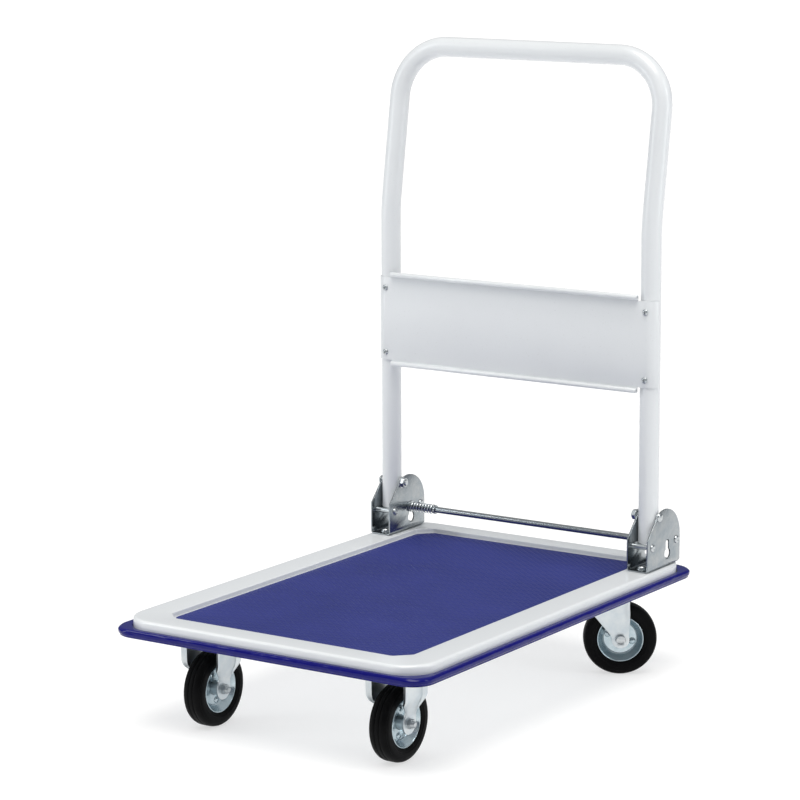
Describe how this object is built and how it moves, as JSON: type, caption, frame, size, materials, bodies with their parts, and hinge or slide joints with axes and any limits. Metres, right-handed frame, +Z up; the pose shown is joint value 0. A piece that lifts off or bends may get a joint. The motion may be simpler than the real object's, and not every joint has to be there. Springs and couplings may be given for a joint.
{
  "type": "folding platform cart",
  "caption": "Folding platform cart: flat steel deck with anti-slip mat and bumper, tubular push handle that folds over the deck, fixed and swivel casters.",
  "frame": {"origin": "on the floor, under the middle of the whole object's box, which is the deck's middle", "axes": "+Z up, +Y towards the handle end, +X towards the cart's right seen from behind the handle's opposite end looking at it from the front"},
  "size_m": [0.474, 0.69, 0.8497],
  "materials": {
    "white_powder_coat": "satin white powder coat",
    "blue_ribbed_vinyl": "finely ribbed blue vinyl",
    "blue_glossy_pvc": "glossy dark blue soft PVC",
    "zinc_plated_steel": "bright blue-white zinc plate",
    "bright_zinc_fasteners": "bright zinc plate",
    "spring_wire": "drawn spring wire",
    "black_rubber": "solid black rubber"
  },
  "bodies": {
    "deck": {"anti_slip_mat": "blue_ribbed_vinyl", "deck_pan": "white_powder_coat", "edge_bumper": "blue_glossy_pvc", "front_left_axle_bolt": "bright_zinc_fasteners", "front_left_axle_nut": "bright_zinc_fasteners", "front_left_fixed_fork": "zinc_plated_steel", "front_right_axle_bolt": "bright_zinc_fasteners", "front_right_axle_nut": "bright_zinc_fasteners", "front_right_fixed_fork": "zinc_plated_steel", "front_stiffener": "white_powder_coat", "left_front_bracket_bolt": "bright_zinc_fasteners", "left_front_spacer": "bright_zinc_fasteners", "left_hinge_bracket": "zinc_plated_steel", "left_pivot_bolt": "bright_zinc_fasteners", "left_pivot_nut": "bright_zinc_fasteners", "left_rear_bracket_bolt": "bright_zinc_fasteners", "left_rear_spacer": "bright_zinc_fasteners", "rear_left_king_pin": "bright_zinc_fasteners", "rear_left_swivel_plate": "zinc_plated_steel", "rear_right_king_pin": "bright_zinc_fasteners", "rear_right_swivel_plate": "zinc_plated_steel", "rear_stiffener": "white_powder_coat", "right_front_bracket_bolt": "bright_zinc_fasteners", "right_front_spacer": "bright_zinc_fasteners", "right_hinge_bracket": "zinc_plated_steel", "right_pivot_bolt": "bright_zinc_fasteners", "right_pivot_nut": "bright_zinc_fasteners", "right_rear_bracket_bolt": "bright_zinc_fasteners", "right_rear_spacer": "bright_zinc_fasteners"},
    "handle": {"handle_panel": "white_powder_coat", "handle_tube": "white_powder_coat", "left_lower_panel_screw": "bright_zinc_fasteners", "left_upper_panel_screw": "bright_zinc_fasteners", "right_lower_panel_screw": "bright_zinc_fasteners", "right_upper_panel_screw": "bright_zinc_fasteners"},
    "lock": {"lock_rod": "bright_zinc_fasteners", "lock_spring": "spring_wire"},
    "front_left_wheel": {"front_left_hub": "zinc_plated_steel", "front_left_rim_inner": "zinc_plated_steel", "front_left_rim_outer": "zinc_plated_steel", "front_left_tyre": "black_rubber"},
    "front_right_wheel": {"front_right_hub": "zinc_plated_steel", "front_right_rim_inner": "zinc_plated_steel", "front_right_rim_outer": "zinc_plated_steel", "front_right_tyre": "black_rubber"},
    "rear_left_swivel": {"rear_left_axle_bolt": "bright_zinc_fasteners", "rear_left_axle_nut": "bright_zinc_fasteners", "rear_left_swivel_fork": "zinc_plated_steel"},
    "rear_left_wheel": {"rear_left_hub": "zinc_plated_steel", "rear_left_rim_inner": "zinc_plated_steel", "rear_left_rim_outer": "zinc_plated_steel", "rear_left_tyre": "black_rubber"},
    "rear_right_swivel": {"rear_right_axle_bolt": "bright_zinc_fasteners", "rear_right_axle_nut": "bright_zinc_fasteners", "rear_right_swivel_fork": "zinc_plated_steel"},
    "rear_right_wheel": {"rear_right_hub": "zinc_plated_steel", "rear_right_rim_inner": "zinc_plated_steel", "rear_right_rim_outer": "zinc_plated_steel", "rear_right_tyre": "black_rubber"}
  },
  "joints": [
    {"name": "handle_fold", "type": "hinge", "parent": "deck", "child": "handle", "pos_m": [0, 0.259, 0.2215], "axis": [1, 0, 0], "range_deg": [0, 98]},
    {"name": "lock_push", "type": "slide", "parent": "deck", "child": "lock", "axis": [-1, 0, 0], "range_m": [0, 0.01], "stiffness_N_per_m": 400, "springref_m": -0.01, "deforming": ["lock_spring"]},
    {"name": "front_left_spin", "type": "hinge", "parent": "deck", "child": "front_left_wheel", "pos_m": [-0.143, -0.251, 0.05], "axis": [1, 0, 0], "continuous": true},
    {"name": "rear_left_swivel_turn", "type": "hinge", "parent": "deck", "child": "rear_left_swivel", "pos_m": [-0.143, 0.232, 0.11], "axis": [0, 0, 1], "continuous": true},
    {"name": "rear_left_spin", "type": "hinge", "parent": "rear_left_swivel", "child": "rear_left_wheel", "pos_m": [-0.15849, 0.26114, 0.05], "axis": [-0.8829, -0.4695, 0], "continuous": true},
    {"name": "front_right_spin", "type": "hinge", "parent": "deck", "child": "front_right_wheel", "pos_m": [0.143, -0.251, 0.05], "axis": [1, 0, 0], "continuous": true},
    {"name": "rear_right_swivel_turn", "type": "hinge", "parent": "deck", "child": "rear_right_swivel", "pos_m": [0.143, 0.232, 0.11], "axis": [0, 0, 1], "continuous": true},
    {"name": "rear_right_spin", "type": "hinge", "parent": "rear_right_swivel", "child": "rear_right_wheel", "pos_m": [0.17045, 0.25031, 0.05], "axis": [-0.5548, 0.832, 0], "continuous": true}
  ]
}
